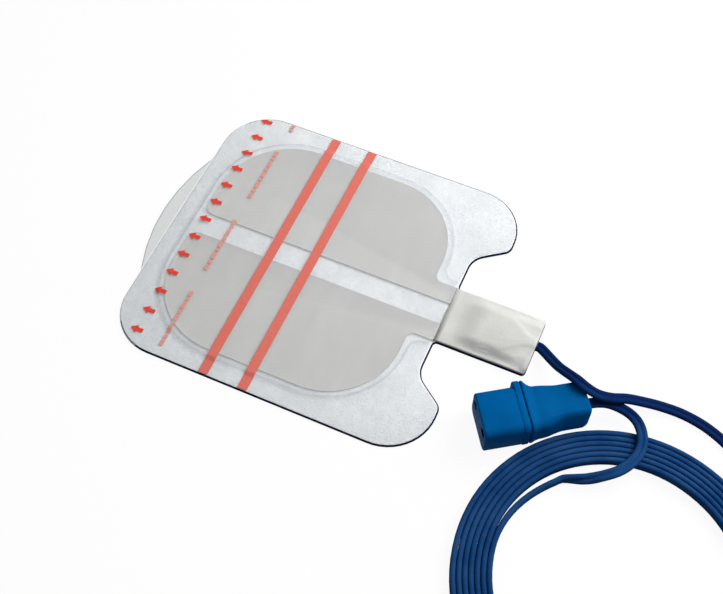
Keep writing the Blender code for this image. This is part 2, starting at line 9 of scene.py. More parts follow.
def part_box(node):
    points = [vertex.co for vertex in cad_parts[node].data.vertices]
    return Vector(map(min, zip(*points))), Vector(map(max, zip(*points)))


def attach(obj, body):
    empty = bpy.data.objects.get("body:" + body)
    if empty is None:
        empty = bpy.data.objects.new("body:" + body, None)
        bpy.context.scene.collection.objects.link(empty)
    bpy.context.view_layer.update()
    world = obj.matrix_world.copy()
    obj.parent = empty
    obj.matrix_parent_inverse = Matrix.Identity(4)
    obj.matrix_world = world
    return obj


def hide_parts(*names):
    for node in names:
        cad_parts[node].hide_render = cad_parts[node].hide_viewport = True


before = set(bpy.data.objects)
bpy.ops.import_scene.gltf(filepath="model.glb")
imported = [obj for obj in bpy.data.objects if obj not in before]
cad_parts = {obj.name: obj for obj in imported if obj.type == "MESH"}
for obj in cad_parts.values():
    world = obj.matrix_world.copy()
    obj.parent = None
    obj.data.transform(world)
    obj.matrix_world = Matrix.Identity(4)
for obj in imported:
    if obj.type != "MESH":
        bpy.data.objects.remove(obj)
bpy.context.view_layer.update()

MM = 0.001
BODY = "root"
MERGE = 0.002 * MM

# Upward share of a face's normal: more on flat faces, less on cut sides
FLAT_NORMAL = 0.9
SIDE_NORMAL = 0.3

# Camera of the photograph
CAMERA_PLACE = (0.1378, -0.2856, 0.5044)
CAMERA_PITCH = radians(58.85)
CAMERA_TURN = radians(23.99)
CAMERA_LENS = 57.76
CAMERA_SENSOR = 36.0

# Studio
FLOOR_GLOW_SHARE = 0.93
FLOOR_SEEN = (0.95, 0.95, 0.95)
FLOOR_BOUNCE = (0.19, 0.22, 0.26)
FLOOR_REACH = 3.0
FLOOR_DROP = 0.3 * MM
SKY_COLOUR = (0.97, 0.98, 1.0)
SKY_STRENGTH = 0.29
KEY_PLACE = (0.40, 0.42, 0.48)
KEY_SIZE = 0.5
KEY_POWER = 5.75
TOP_PLACE = (0.38, 0.28, 0.85)
TOP_SIZE = 0.7
TOP_POWER = 2.4
LAMP_TARGET = (0.05, -0.02, 0.0)

# Print on the liner, across the pad
STRIPE_REACH = 0.2
STRIPE_WIDTH = 5.0 * MM
STRIPE_PLACES = (-39.0 * MM, -17.6 * MM)
ARROW_X = -80.5 * MM
ARROW_FIRST_Y = 74.9 * MM
ARROW_PITCH = 12.1 * MM
ARROW_COUNT = 13
ARROW_LENGTH = 6.8 * MM
ARROW_HEAD = 3.5 * MM
ARROW_WIDTH = 4.8 * MM
ARROW_SHAFT = 2.3 * MM
DASH_X = -65.3 * MM
DASH_RUNS = (
    (79.8 * MM, 70.7 * MM),
    (57.6 * MM, 21.5 * MM),
    (7.9 * MM, -27.4 * MM),
    (-40.0 * MM, -74.5 * MM),
)
DASH_LENGTHS = (3.4 * MM, 1.7 * MM, 4.2 * MM, 2.3 * MM)
DASH_GAP = 0.9 * MM
DASH_WIDTH = 2.1 * MM
PRINT_LIFT = 0.03 * MM
PRINT_THICK = 0.02 * MM

# Liner, with the order of its films
CLEAR, SHADED_CREASE, TAB_SHADE, TAB_EDGE_SHADE = 0, 1, 2, 3
LINER_THICK = 0.25 * MM
LINER_INSET = 0.9 * MM
CREASE_WIDTH = 0.7 * MM
CREASE_LEAST = radians(8)
TOP_LAYER = 0.05 * MM
STEP_MIDDLE = 0.4 * MM
BEAD_HEIGHT = 0.02 * MM
BEAD_WIDTH = 1.2 * MM
TAB_RIM = 0.5 * MM

# Pad, whose white shows on its face and down its side by the tab; its other cut sides are painted near
# black as shade
FOAM_EDGE = 0.75 * MM
WHITE_FACE = 0.99
WHITE_SIDE = 0.5
TAB_SIDE = -0.2
GEL_SLOPE = 2.4 * MM
GEL_FALL = 0.6 * MM

# Tail cover
COVER_INSET = 0.97
COVER_LAP = 0.7 * MM
COVER_CORNER = 1.6 * MM
COVER_HEM = 1.5 * MM
COVER_SOFT_Y = 15.5 * MM
COVER_RUN_IN = 18.0 * MM
COVER_SIDE = 6.5 * MM
COVER_DOME = 0.8
COVER_LIFT = 0.8
COVER_PRESSED = 12.0 * MM
COVER_LUMP = 0.15 * MM
COVER_CREASE = 0.07 * MM
COVER_PUFF = 0.12 * MM
COVER_WAVE = 0.35 * MM

# Flat twin cord
CORD_WIDTH = 5.4 * MM
CORD_THICK = 2.7 * MM
CORD_EXIT_Y = 0.5 * MM
CORD_STEP = 1.6 * MM
CORD_GAP = 0.3 * MM
LOBE_STEPS = 10
LOBE_SPACING = 0.97
WEB_ANGLE = radians(32)
COIL_CENTRE = Vector((177.5 * MM, -99.0 * MM, 0.0))
COIL_RADIUS = 75.0 * MM
COIL_START = radians(31.0)
COIL_END = radians(133.4)
COIL_WHOLE_TURNS = 6
COIL_LIFT = 0.35 * MM
COIL_LEAN = Vector((-0.7 * MM, 1.5 * MM, 0.0))
COIL_STEP = radians(4.0)
COIL_RUN_OFF = 3.0 * MM
COIL_RUN_ANGLE = radians(50.0)
COIL_UNEVEN = 0.12 * MM
# Painted shade on the lead: the cord darkens from the first Y up to the second
LEAD_SHADE_FROM = -27 * MM
LEAD_SHADE_FULL = -19 * MM
ON_EDGE = (42, 6)  # points before the coil between which the lead turns on edge
FLAT_AGAIN = (2, 14)  # points after the coil where it starts to turn back, and how many it takes
LEAD_ROUTE = (
    (106.9, 0.3, 3.1),
    (110.1, -2.0, 4.3),
    (114.3, -5.8, 6.9),
    (118.8, -10.0, 10.4),
    (123.8, -14.3, 15.4),
    (129.0, -17.9, 19.2),
    (135.1, -19.9, 18.6),
    (141.3, -18.8, 14.6),
    (147.6, -16.0, 11.2),
    (154.2, -12.1, 8.6),
    (161.8, -8.7, 5.2),
    (170.8, -6.0, 2.4),
    (181.8, -5.4, 1.5),
    (193.8, -7.7, 1.4),
    (206.3, -13.4, 1.6),
    (217.5, -22.2, 2.0),
    (226.4, -31.8, 2.3),
    (233.3, -41.9, 2.6),
)
PLUG_ROUTE = (
    (148.7, -57.1, 4.5),
    (155.6, -53.5, 7.0),
    (161.9, -48.1, 7.8),
    (166.0, -41.3, 7.6),
    (167.6, -34.0, 7.6),
    (166.2, -27.2, 7.8),
    (162.6, -21.9, 8.0),
    (157.8, -18.5, 7.3),
    (151.9, -17.2, 7.2),
    (146.4, -17.9, 8.2),
    (141.6, -20.2, 9.4),
)

# Plug, along its own axis from the face with the sockets
PLUG_FACE = Vector((94.0 * MM, -52.7 * MM, 9.6 * MM))
PLUG_TURN = radians(34.4)
BLOCK_SIZE = (24.0 * MM, 18.6 * MM)
BLOCK_LENGTH = 18.8 * MM
BLOCK_RADIUS = 4.4 * MM
BLOCK_EDGE = 0.8 * MM
BLOCK_SUPPORT = 0.3 * MM
FLANGE_SIZE = (27.1 * MM, 19.2 * MM)
FLANGE_SHIFT = 1.25 * MM
FLANGE_LENGTH = 3.0 * MM
FLANGE_RADIUS = 5.0 * MM
FLANGE_EDGE = 0.15 * MM
COLLAR_EDGE = 0.55 * MM
COLLAR_LENGTH = 1.2 * MM
GRIP_START = 22.2 * MM
GRIP_LENGTH = 30.2 * MM
GRIP_ROOT = (22.6 * MM, 16.6 * MM)
GRIP_ROOT_START = 6.0 * MM
GRIP_WAIST = (19.2 * MM, 14.6 * MM)
GRIP_WAIST_START = 17.5 * MM
GRIP_STEPS = 12
GRIP_END_EDGE = 1.8 * MM
GRIP_CORNER = 0.45
GRIP_SLOPE = 0.3
GRIP_END_RADIUS = 4.5 * MM
SOCKET_SPACING = 14.4 * MM
SOCKET_RISE = 3.5 * MM
SOCKET_BORE = 4.5 * MM
SOCKET_MOUTH = 0.5 * MM
SOCKET_DEPTH = 14.0 * MM


class Finish:
    """A Principled material whose patterns lie on Object coordinates."""

    def __init__(self, name, colour, roughness, metallic=0.0, **sockets):
        self.material = bpy.data.materials.new(name)
        self.material.use_nodes = True
        self.tree = self.material.node_tree
        self.shader = self.tree.nodes["Principled BSDF"]
        self.shader.inputs["Base Color"].default_value = (*colour, 1.0)
        self.shader.inputs["Roughness"].default_value = roughness
        self.shader.inputs["Metallic"].default_value = metallic
        for socket, value in sockets.items():
            self.shader.inputs[socket.replace("_", " ")].default_value = value
        self.colour = None
        self.plain = colour
        self.normal = None
        self.place = self.tree.nodes.new("ShaderNodeTexCoord").outputs["Object"]

    def node(self, kind, **inputs):
        made = self.tree.nodes.new("ShaderNode" + kind)
        for socket, value in inputs.items():
            target = made.inputs[socket.replace("_", " ")]
            if isinstance(value, bpy.types.NodeSocket):
                self.tree.links.new(value, target)
            else:
                target.default_value = value
        return made

    def stretched(self, scale):
        return self.node("Mapping", Vector=self.place, Scale=scale).outputs["Vector"]

    def grain(self, scale, detail=2.0, place=None):
        """Noise from 0 to 1, with scale features to the metre."""
        return self.node("TexNoise", Vector=place or self.place, Scale=scale, Detail=detail).outputs["Fac"]

    def cells(self, scale):
        """Distance to the nearest cell centre, from 0 to about 1."""
        return self.node("TexVoronoi", Vector=self.place, Scale=scale).outputs["Distance"]

    def between(self, value, low, high, start=0.0, end=1.0):
        """Start where the value is low or less, end where it is high or more."""
        made = self.node("MapRange", Value=value, From_Min=low, From_Max=high, To_Min=start, To_Max=end)
        return made.outputs["Result"]

    def tint(self, factor, colour):
        """Mixes a second colour in where factor is 1."""
        mix = self.tree.nodes.new("ShaderNodeMix")
        mix.data_type = "RGBA"
        self.tree.links.new(factor, mix.inputs["Factor"])
        if self.colour is None:
            mix.inputs["A"].default_value = (*self.plain, 1.0)
        else:
            self.tree.links.new(self.colour, mix.inputs["A"])
        mix.inputs["B"].default_value = (*colour, 1.0)
        self.colour = mix.outputs["Result"]
        self.tree.links.new(self.colour, self.shader.inputs["Base Color"])

    def bump(self, height, depth, strength):
        made = self.node("Bump", Height=height, Distance=depth, Strength=strength)
        if self.normal is not None:
            self.tree.links.new(self.normal, made.inputs["Normal"])
        self.normal = made.outputs["Normal"]
        self.tree.links.new(self.normal, self.shader.inputs["Normal"])

    def rough(self, value):
        self.tree.links.new(value, self.shader.inputs["Roughness"])

    def across(self, low, high):
        """0 up to one place along Y and 1 beyond the other."""
        parts = self.node("SeparateXYZ", Vector=self.place)
        return self.between(parts.outputs["Y"], low, high)


def nonwoven_finish():
    made = Finish("nonwoven_face", (0.87, 0.88, 0.90), 0.8, Specular_IOR_Level=0.2)
    dots = made.between(made.cells(620.0), 0.15, 0.42)
    made.tint(made.between(made.cells(620.0), 0.0, 0.45, 0.75, 0.0), (0.64, 0.67, 0.70))
    made.tint(made.between(made.grain(420.0, 3.0), 0.42, 0.68, 0.0, 0.8), (0.97, 0.98, 0.99))
    made.tint(made.between(made.grain(90.0, 3.0), 0.35, 0.6, 0.45, 0.0), (0.74, 0.76, 0.78))
    made.bump(dots, 0.12 * MM, 0.5)
    made.bump(made.grain(2500.0, 1.0), 0.05 * MM, 0.4)
    return made.material


def painted_shade_edge_finish():
    # Near-black painted shade for the foam's bevel and cut sides, standing in for the shaded side wall and
    # the shadow beneath the edge
    made = Finish("painted_shade_foam_edge", (0.004, 0.008, 0.03), 0.9, Specular_IOR_Level=0.1)
    made.tint(made.between(made.grain(1800.0), 0.4, 0.7, 0.0, 0.5), (0.012, 0.02, 0.055))
    made.bump(made.cells(2600.0), 0.1 * MM, 0.6)
    return made.material


def gel_finish():
    made = Finish("grey_gel", (0.565, 0.542, 0.518), 0.5, Specular_IOR_Level=0.2)
    made.tint(made.between(made.grain(22.0, 3.0), 0.3, 0.75), (0.625, 0.60, 0.575))
    made.tint(made.between(made.grain(420.0, 2.0), 0.55, 0.8, 0.0, 0.25), (0.50, 0.49, 0.475))
    made.rough(made.between(made.grain(45.0, 2.0), 0.3, 0.7, 0.36, 0.5))
    made.bump(made.grain(38.0, 1.0), 0.5 * MM, 0.25)
    return made.material


def film_finish(name, colour, alpha):
    """Clear film, which hides more at a higher alpha, as its creases and the tab do, whose greyer films
    are painted shade.
    """
    made = Finish(name, colour, 0.35, Alpha=alpha, IOR=1.49, Specular_IOR_Level=0.12)
    # Lighter streaks along the stretched grain: a painted sheen on the film's ripples, which the bump also
    # draws
    sheen_tone = tuple(channel * 1.1 for channel in colour)
    streaks = made.grain(60.0, 2.0, made.stretched((6.0, 0.35, 1.0)))
    made.tint(made.between(streaks, 0.45, 0.7), sheen_tone)
    made.bump(made.grain(24.0, 2.0), 0.8 * MM, 0.25)
    made.bump(streaks, 0.2 * MM, 0.35)
    return made.material


def ink_finish(name, colour, worn):
    made = Finish(name, colour, 0.45)
    made.tint(made.between(made.grain(700.0, 3.0), 0.5, 0.8, 0.0, 0.6), worn)
    made.bump(made.grain(1200.0), 0.02 * MM, 0.4)
    return made.material


def cover_finish():
    made = Finish("cover_foam", (0.56, 0.56, 0.525), 0.9, Specular_IOR_Level=0.2)
    made.tint(made.between(made.grain(55.0, 3.0), 0.35, 0.7), (0.65, 0.65, 0.62))
    made.tint(made.between(made.cells(1900.0), 0.0, 0.3, 0.3, 0.0), (0.50, 0.50, 0.47))
    made.bump(made.cells(1900.0), 0.1 * MM, 0.5)
    made.bump(made.grain(160.0, 3.0), 0.25 * MM, 0.4)
    return made.material


def moulded(name, colour, light, roughness):
    """Moulding with the faint spark-eroded grain of its mould."""
    made = Finish(name, colour, roughness, Specular_IOR_Level=0.007)
    made.tint(made.between(made.grain(90.0, 2.0), 0.35, 0.7), light)
    made.rough(made.between(made.grain(500.0, 2.0), 0.3, 0.7, roughness - 0.05, roughness + 0.08))
    made.bump(made.grain(3200.0, 2.0), 0.03 * MM, 0.5)
    made.bump(made.grain(120.0, 1.0), 0.15 * MM, 0.2)
    return made


def sheath_finish():
    """Blue of the cord, with a painted shade that darkens the lead beyond the coil."""
    made = moulded("blue_sheath", (0.007, 0.045, 0.15), (0.016, 0.066, 0.19), 0.5)
    # painted shade: darker blue along the lead
    made.tint(made.across(LEAD_SHADE_FROM, LEAD_SHADE_FULL), (0.004, 0.018, 0.085))
    return made.material


def metal_finish(name, colour, roughness):
    made = Finish(name, colour, roughness, 1.0)
    rolled = made.grain(400.0, 3.0, made.stretched((1.0, 8.0, 1.0)))
    made.tint(made.between(rolled, 0.4, 0.7), (0.6, 0.58, 0.53))
    made.rough(made.between(made.grain(900.0), 0.3, 0.7, roughness - 0.06, roughness + 0.1))
    made.bump(made.grain(2000.0, 2.0), 0.02 * MM, 0.4)
    return made.material


def paper_finish():
    made = Finish("white_paper", (0.80, 0.80, 0.78), 0.85)
    made.tint(made.between(made.grain(1500.0, 3.0), 0.4, 0.7, 0.0, 0.5), (0.72, 0.72, 0.69))
    made.bump(made.grain(1800.0, 3.0), 0.04 * MM, 0.5)
    return made.material


def placed(name, data):
    """A new object, linked into the scene."""
    made = bpy.data.objects.new(name, data)
    bpy.context.scene.collection.objects.link(made)
    return made


def mesh_of(name, bm):
    """The mesh of a bmesh that is no longer needed."""
    mesh = bpy.data.meshes.new(name)
    bm.to_mesh(mesh)
    bm.free()
    return mesh


def merged_node(name):
    """A copy of a CAD node's mesh with its loose triangles joined."""
    bm = bmesh.new()
    bm.from_mesh(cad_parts[name].data)
    bmesh.ops.remove_doubles(bm, verts=bm.verts, dist=MERGE)
    return bm


def flat_faced_node(name):
    """A merged copy of a CAD node whose flat sides are single faces."""
    bm = merged_node(name)
    bmesh.ops.dissolve_limit(
        bm, angle_limit=radians(0.5), use_dissolve_boundaries=False, verts=bm.verts, edges=bm.edges,
        delimit=set(),
    )
    return bm


def piece(name, bm, materials, replaced=(), smooth=radians(30)):
    """A finished piece of the object, shaded smooth, from a bmesh."""
    mesh = mesh_of(name, bm)
    for material in materials:
        mesh.materials.append(material)
    mesh.shade_smooth()
    mesh.set_sharp_from_angle(angle=smooth)
    made = placed(name, mesh)
    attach(made, BODY)
    if replaced:
        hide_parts(*replaced)
    return made


def soften(bm, edges, width, steps, material=-1):
    """Rounds edges, on faces that keep their neighbours' material unless one is given."""
    bmesh.ops.bevel(
        bm, geom=edges, offset=width, offset_type="OFFSET", segments=steps, profile=0.5,
        affect="EDGES", material=material, clamp_overlap=True,
    )


def rim_edges(bm, middle):
    """Edges above the middle between the upper face and the cut sides."""
    found = []
    for edge in bm.edges:
        heights = sorted(abs(face.normal.z) for face in edge.link_faces)
        above = all(vert.co.z > middle for vert in edge.verts)
        if len(heights) == 2 and heights[0] < SIDE_NORMAL and heights[1] > FLAT_NORMAL and above:
            found.append(edge)
    return found


def make_backing(white, painted_shade):
    """Foam with a white face and cut sides in a painted shade, apart from its white side by the tab."""
    bm = flat_faced_node("backing_foam")
    low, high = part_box("backing_foam")
    soften(bm, rim_edges(bm, (low.z + high.z) / 2), FOAM_EDGE, 3)
    for face in bm.faces:
        white_from = WHITE_SIDE if face.normal.x < TAB_SIDE else WHITE_FACE
        face.material_index = 0 if face.normal.z > white_from else 1
    backing = piece("backing", bm, [white, painted_shade], ["backing_foam"])


def make_gel(gel):
    """Two lobes that slope down towards their edges."""
    for side in ("left", "right"):
        bm = flat_faced_node("gel_" + side)
        top = [face for face in bm.faces if face.normal.z > FLAT_NORMAL]
        rim = {vert for face in top for vert in face.verts}
        bmesh.ops.inset_region(bm, faces=top, thickness=GEL_SLOPE, use_boundary=True, use_even_offset=True)
        bmesh.ops.translate(bm, verts=list(rim), vec=(0.0, 0.0, -GEL_FALL))
        piece("gel_lobe_" + side, bm, [gel], ["gel_" + side])


def liner_sheet():
    """Upper surface of the liner: a bead along its formed step, rounded creases and the tab."""
    bm = flat_faced_node("release_liner")
    under = [face for face in bm.faces if face.normal.z < 0.5]
    bmesh.ops.delete(bm, geom=under, context="FACES")
    rim = bmesh.ops.inset_region(
        bm, faces=bm.faces[:], thickness=LINER_INSET, use_boundary=True, use_even_offset=True
    )
    bmesh.ops.delete(bm, geom=rim["faces"], context="FACES")
    highest = max(vert.co.z for vert in bm.verts)
    top = [face for face in bm.faces if face.calc_center_median().z > highest - TOP_LAYER]
    bmesh.ops.inset_region(bm, faces=top, thickness=BEAD_WIDTH, use_boundary=False, use_even_offset=True)
    slopes = [face for face in bm.faces if 0.5 < face.normal.z < 0.99]
    crest = {vert for face in slopes for vert in face.verts if vert.co.z > highest - TOP_LAYER}
    bmesh.ops.translate(bm, verts=list(crest), vec=(0.0, 0.0, BEAD_HEIGHT))
    middle = highest - STEP_MIDDLE
    # The creases of the upper step get a greyer film: a painted shade line along the formed step
    for index, above in ((CLEAR, False), (SHADED_CREASE, True)):
        creases = [
            edge for edge in bm.edges
            if len(edge.link_faces) == 2 and edge.calc_face_angle() > CREASE_LEAST
            and (max(vert.co.z for vert in edge.verts) > middle) == above
        ]
        soften(bm, creases, CREASE_WIDTH, 4, index)
    mark_tab(bm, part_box("backing_foam")[0].x)
    return bm


def mark_tab(bm, root):
    """The pull tab past the pad's edge in a greyer film of painted shade, and a painted dark line along
    its own cut edge.
    """
    bmesh.ops.bisect_plane(
        bm, geom=bm.verts[:] + bm.edges[:] + bm.faces[:], plane_co=(root, 0.0, 0.0),
        plane_no=(1.0, 0.0, 0.0),
    )
    tab = [face for face in bm.faces if face.calc_center_median().x < root]
    for face in tab:
        face.material_index = TAB_SHADE
    rim = bmesh.ops.inset_region(bm, faces=tab, thickness=TAB_RIM, use_boundary=True, use_even_offset=True)
    for face in rim["faces"]:
        if face.calc_center_median().x < root - 2 * TAB_RIM:
            face.material_index = TAB_EDGE_SHADE


def cut_out(sheet, corners):
    """The part of a sheet inside a convex outline, corners counter-clockwise."""
    bm = sheet.copy()
    for here, after in zip(corners, corners[1:] + corners[:1]):
        outwards = Vector((after[1] - here[1], here[0] - after[0], 0.0))
        bmesh.ops.bisect_plane(
            bm, geom=bm.verts[:] + bm.edges[:] + bm.faces[:], plane_co=(here[0], here[1], 0.0),
            plane_no=outwards, clear_outer=True,
        )
    return bm


def box_corners(x_low, x_high, y_low, y_high):
    return [(x_low, y_low), (x_high, y_low), (x_high, y_high), (x_low, y_high)]


def printed(name, sheet, outlines, ink):
    """Ink laid on the liner inside each outline."""
    whole = bmesh.new()
    for corners in outlines:
        mesh = mesh_of("ink", cut_out(sheet, corners))
        whole.from_mesh(mesh)
        bpy.data.meshes.remove(mesh)
    bmesh.ops.translate(whole, verts=whole.verts, vec=(0.0, 0.0, PRINT_LIFT))
    result = bmesh.ops.extrude_face_region(whole, geom=whole.faces[:])
    raised = [item for item in result["geom"] if isinstance(item, bmesh.types.BMVert)]
    bmesh.ops.translate(whole, verts=raised, vec=(0.0, 0.0, PRINT_THICK))
    bmesh.ops.recalc_face_normals(whole, faces=whole.faces)
    for face in whole.faces:
        face.material_index = 0
    piece(name, whole, [ink])


def arrow_outlines(y):
    """Plain arrow towards the pull tab, as a head and a shaft."""
    tip, back = ARROW_X - ARROW_LENGTH / 2, ARROW_X + ARROW_LENGTH / 2
    neck = tip + ARROW_HEAD
    head = [(tip, y), (neck, y - ARROW_WIDTH / 2), (neck, y + ARROW_WIDTH / 2)]
    return [head, box_corners(neck, back, y - ARROW_SHAFT / 2, y + ARROW_SHAFT / 2)]


def make_liner(films, stripe_ink, arrow_ink, faint_ink):
    """The formed film, with plain stripes, arrows and dashes printed on it."""
    sheet = liner_sheet()
    stripes = [
        box_corners(x - STRIPE_WIDTH / 2, x + STRIPE_WIDTH / 2, -STRIPE_REACH, STRIPE_REACH)
        for x in STRIPE_PLACES
    ]
    printed("printed_stripes", sheet, stripes, stripe_ink)
    arrows = []
    for index in range(ARROW_COUNT):
        arrows += arrow_outlines(ARROW_FIRST_Y - index * ARROW_PITCH)
    printed("printed_arrows", sheet, arrows, arrow_ink)
    dashes = []
    for high, low in DASH_RUNS:
        top, index = high, 0
        while top - DASH_LENGTHS[index] > low:
            bottom = top - DASH_LENGTHS[index]
            dashes.append(box_corners(DASH_X - DASH_WIDTH / 2, DASH_X + DASH_WIDTH / 2, bottom, top))
            top, index = bottom - DASH_GAP, (index + 1) % len(DASH_LENGTHS)
    printed("printed_dashes", sheet, dashes, faint_ink)

    result = bmesh.ops.extrude_face_region(sheet, geom=sheet.faces[:])
    lowered = [item for item in result["geom"] if isinstance(item, bmesh.types.BMVert)]
    bmesh.ops.translate(sheet, verts=lowered, vec=(0.0, 0.0, -LINER_THICK))
    bmesh.ops.recalc_face_normals(sheet, faces=sheet.faces)
    piece("formed_liner", sheet, films, ["release_liner"])


def make_cover(foam):
    """Soft patch over the tail, pressed down round the wires and slightly uneven."""
    bm = merged_node("tail_cover")
    bmesh.ops.join_triangles(
        bm, faces=bm.faces, angle_face_threshold=radians(60), angle_shape_threshold=radians(60)
    )
    low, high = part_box("tail_cover")
    bmesh.ops.subdivide_edges(bm, edges=bm.edges, cuts=1, use_grid_fill=True, smooth=0.0)
    inside = [
        vert for vert in bm.verts
        if low.x + COVER_HEM < vert.co.x < high.x - COVER_HEM and abs(vert.co.y) < COVER_SOFT_Y
    ]
    for _ in range(4):
        bmesh.ops.smooth_vert(bm, verts=inside, factor=0.5, use_axis_z=True)
    middle, half_width = (low.x + high.x) / 2, (high.y - low.y) / 2
    for vert in bm.verts:
        dome = ease((vert.co.x - low.x) / COVER_RUN_IN) * ease((half_width - abs(vert.co.y)) / COVER_SIDE)
        under = low.z + (high.z - low.z) * COVER_DOME * dome
        if vert.co.x > middle:
            vert.co.z += max(0.0, under - vert.co.z) * COVER_LIFT
        lump = noise.noise(Vector((vert.co.x * 90, vert.co.y * 90, 0.0)))
        crease = noise.noise(Vector((vert.co.x * 210, vert.co.y * 130, 7.0)))
        free = min(1.0, (vert.co.x - low.x) / COVER_PRESSED)
        vert.co.z += (COVER_LUMP * lump + COVER_CREASE * crease + COVER_PUFF) * free
        vert.co.y *= COVER_INSET
        if vert.co.x < low.x + 0.5 * MM:
            edge_wave = noise.noise(Vector((vert.co.y * 160, 3.0, 0.0))) * COVER_WAVE
            vert.co.x += abs(edge_wave) - COVER_LAP
        if vert.co.x > middle:
            back = rounding(abs(vert.co.y), half_width, COVER_CORNER)
            vert.co.x -= back * ease((vert.co.x - middle) / (high.x - middle))
    cover = piece("soft_tail_cover", bm, [foam], ["tail_cover"], radians(50))


def curve_between(knots, spacing):
    """Even points on a smooth curve through the knots."""
    knots = [2 * knots[0] - knots[1]] + knots + [2 * knots[-1] - knots[-2]]
    steps = 24
    fine = []
    for a, b, c, d in zip(knots, knots[1:], knots[2:], knots[3:]):
        for step in range(steps):
            t = step / steps
            fine.append(
                0.5 * (2 * b + (c - a) * t + (2 * a - 5 * b + 4 * c - d) * t**2
                       + (3 * b - a - 3 * c + d) * t**3)
            )
    fine.append(knots[-2])
    points, run = [fine[0]], 0.0
    for start, end in zip(fine, fine[1:]):
        run += (end - start).length
        if run >= spacing:
            points.append(end)
            run = 0.0
    return points


def ease(value):
    value = min(max(value, 0.0), 1.0)
    return value * value * (3 - 2 * value)


def rounding(place, edge, radius):
    """How far an outline with rounded corners stays back at a place near its edge."""
    beyond = min(1.0, max(0.0, place - (edge - radius)) / radius)
    return radius * (1 - sqrt(1 - beyond**2))


def coil_points():
    """The wound turns, clockwise inwards, with a run-in outside and a run-out inside."""
    turns = COIL_WHOLE_TURNS + 1 - (COIL_END - COIL_START) / (2 * pi)
    first = COIL_RADIUS - CORD_THICK / 2
    height = COIL_LIFT + CORD_WIDTH / 2
    points = []
    count = round(turns * 2 * pi / COIL_STEP)
    for step in range(count + 1):
        turned = step * COIL_STEP
        left = turns * 2 * pi - turned
        radius = first - CORD_THICK * turned / (2 * pi)
        radius += COIL_RUN_OFF * (1 - ease(turned / COIL_RUN_ANGLE))
        radius -= COIL_RUN_OFF * (1 - ease(left / COIL_RUN_ANGLE))
        radius += COIL_UNEVEN * noise.noise(Vector((turned * 2.2, 0.0, 5.0)))
        angle = COIL_START - turned
        place = Vector((radius * cos(angle), radius * sin(angle), height))
        points.append(COIL_CENTRE + COIL_LEAN + place)
    return points


def cord_path():
    """Centreline of the cord and how far it is turned on edge at each point, 0 to 1."""
    plug_axis = Vector((cos(PLUG_TURN), sin(PLUG_TURN), 0.0))
    plug_end = PLUG_FACE + plug_axis * (GRIP_START + GRIP_LENGTH + CORD_GAP)
    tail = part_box("tail_cover")[1].x
    exit_point = Vector((tail + CORD_GAP, CORD_EXIT_Y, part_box("wire_right")[0].z + CORD_WIDTH / 4))
    coil = coil_points()
    lead = [exit_point, exit_point + Vector((CORD_GAP, 0.0, 0.0))]
    lead += [Vector(point) * MM for point in LEAD_ROUTE] + coil[:3]
    run = coil[-3:] + [Vector(point) * MM for point in PLUG_ROUTE] + [plug_end]
    lead_points = curve_between(lead, CORD_STEP)
    run_points = curve_between(run, CORD_STEP)
    path = lead_points[:-1] + coil[3:-3] + run_points
    flat_end, edge_start = (len(lead_points) - count for count in ON_EDGE)
    delay, spread = FLAT_AGAIN
    fall_start = len(path) - len(run_points) + delay
    turned = []
    for index in range(len(path)):
        rise = ease((index - flat_end) / (edge_start - flat_end))
        fall = ease((index - fall_start) / spread)
        turned.append(rise * (1 - fall))
    return path, turned


def make_cord(sheath):
    """Flat twin cord: two round lobes joined by a web, swept along its whole length."""
    path, turned = cord_path()
    lobe = CORD_WIDTH / 4
    section = bpy.data.curves.new("twin_section", "CURVE")
    section.dimensions = "2D"
    outline = section.splines.new("POLY")
    corners = []
    for side in (1, -1):
        for step in range(LOBE_STEPS + 1):
            angle = (-pi + WEB_ANGLE) + (2 * pi - 2 * WEB_ANGLE) * step / LOBE_STEPS
            corners.append((side * (lobe * LOBE_SPACING + lobe * cos(angle)), side * lobe * sin(angle)))
    outline.points.add(len(corners) - 1)
    outline.use_cyclic_u = True
    for point, corner in zip(outline.points, corners):
        point.co = (*corner, 0.0, 1.0)
    profile = placed("twin_section", section)

    line = bpy.data.curves.new("cord_line", "CURVE")
    line.dimensions = "3D"
    line.twist_mode = "Z_UP"
    line.bevel_mode = "OBJECT"
    line.bevel_object = profile
    line.use_fill_caps = True
    spline = line.splines.new("POLY")
    spline.points.add(len(path) - 1)
    for point, place, share in zip(spline.points, path, turned):
        point.co = (*place, 1.0)
        point.tilt = share * pi / 2
    guide = placed("cord_line", line)
    bpy.context.view_layer.update()
    swept = guide.evaluated_get(bpy.context.evaluated_depsgraph_get())
    bm = bmesh.new()
    bm.from_mesh(swept.to_mesh())
    swept.to_mesh_clear()
    bpy.data.objects.remove(guide)
    bpy.data.objects.remove(profile)
    bmesh.ops.remove_doubles(bm, verts=bm.verts, dist=MERGE)
    bmesh.ops.recalc_face_normals(bm, faces=bm.faces)
    cord = piece(
        "flat_twin_cord", bm, [sheath], ["cable_lead", "cable_coil", "cable_plug_run"], radians(60)
    )


def rounded_plate(size, radius):
    """Rounded rectangle across X as one face, from four corners."""
    bm = bmesh.new()
    width, thick = size
    signs = ((-1, -1), (1, -1), (1, 1), (-1, 1))
    bm.faces.new([bm.verts.new((0.0, y * width / 2, z * thick / 2)) for y, z in signs])
    bmesh.ops.bevel(
        bm, geom=bm.verts[:], offset=radius, offset_type="OFFSET", segments=8, profile=0.5,
        affect="VERTICES", material=-1,
    )
    return bm


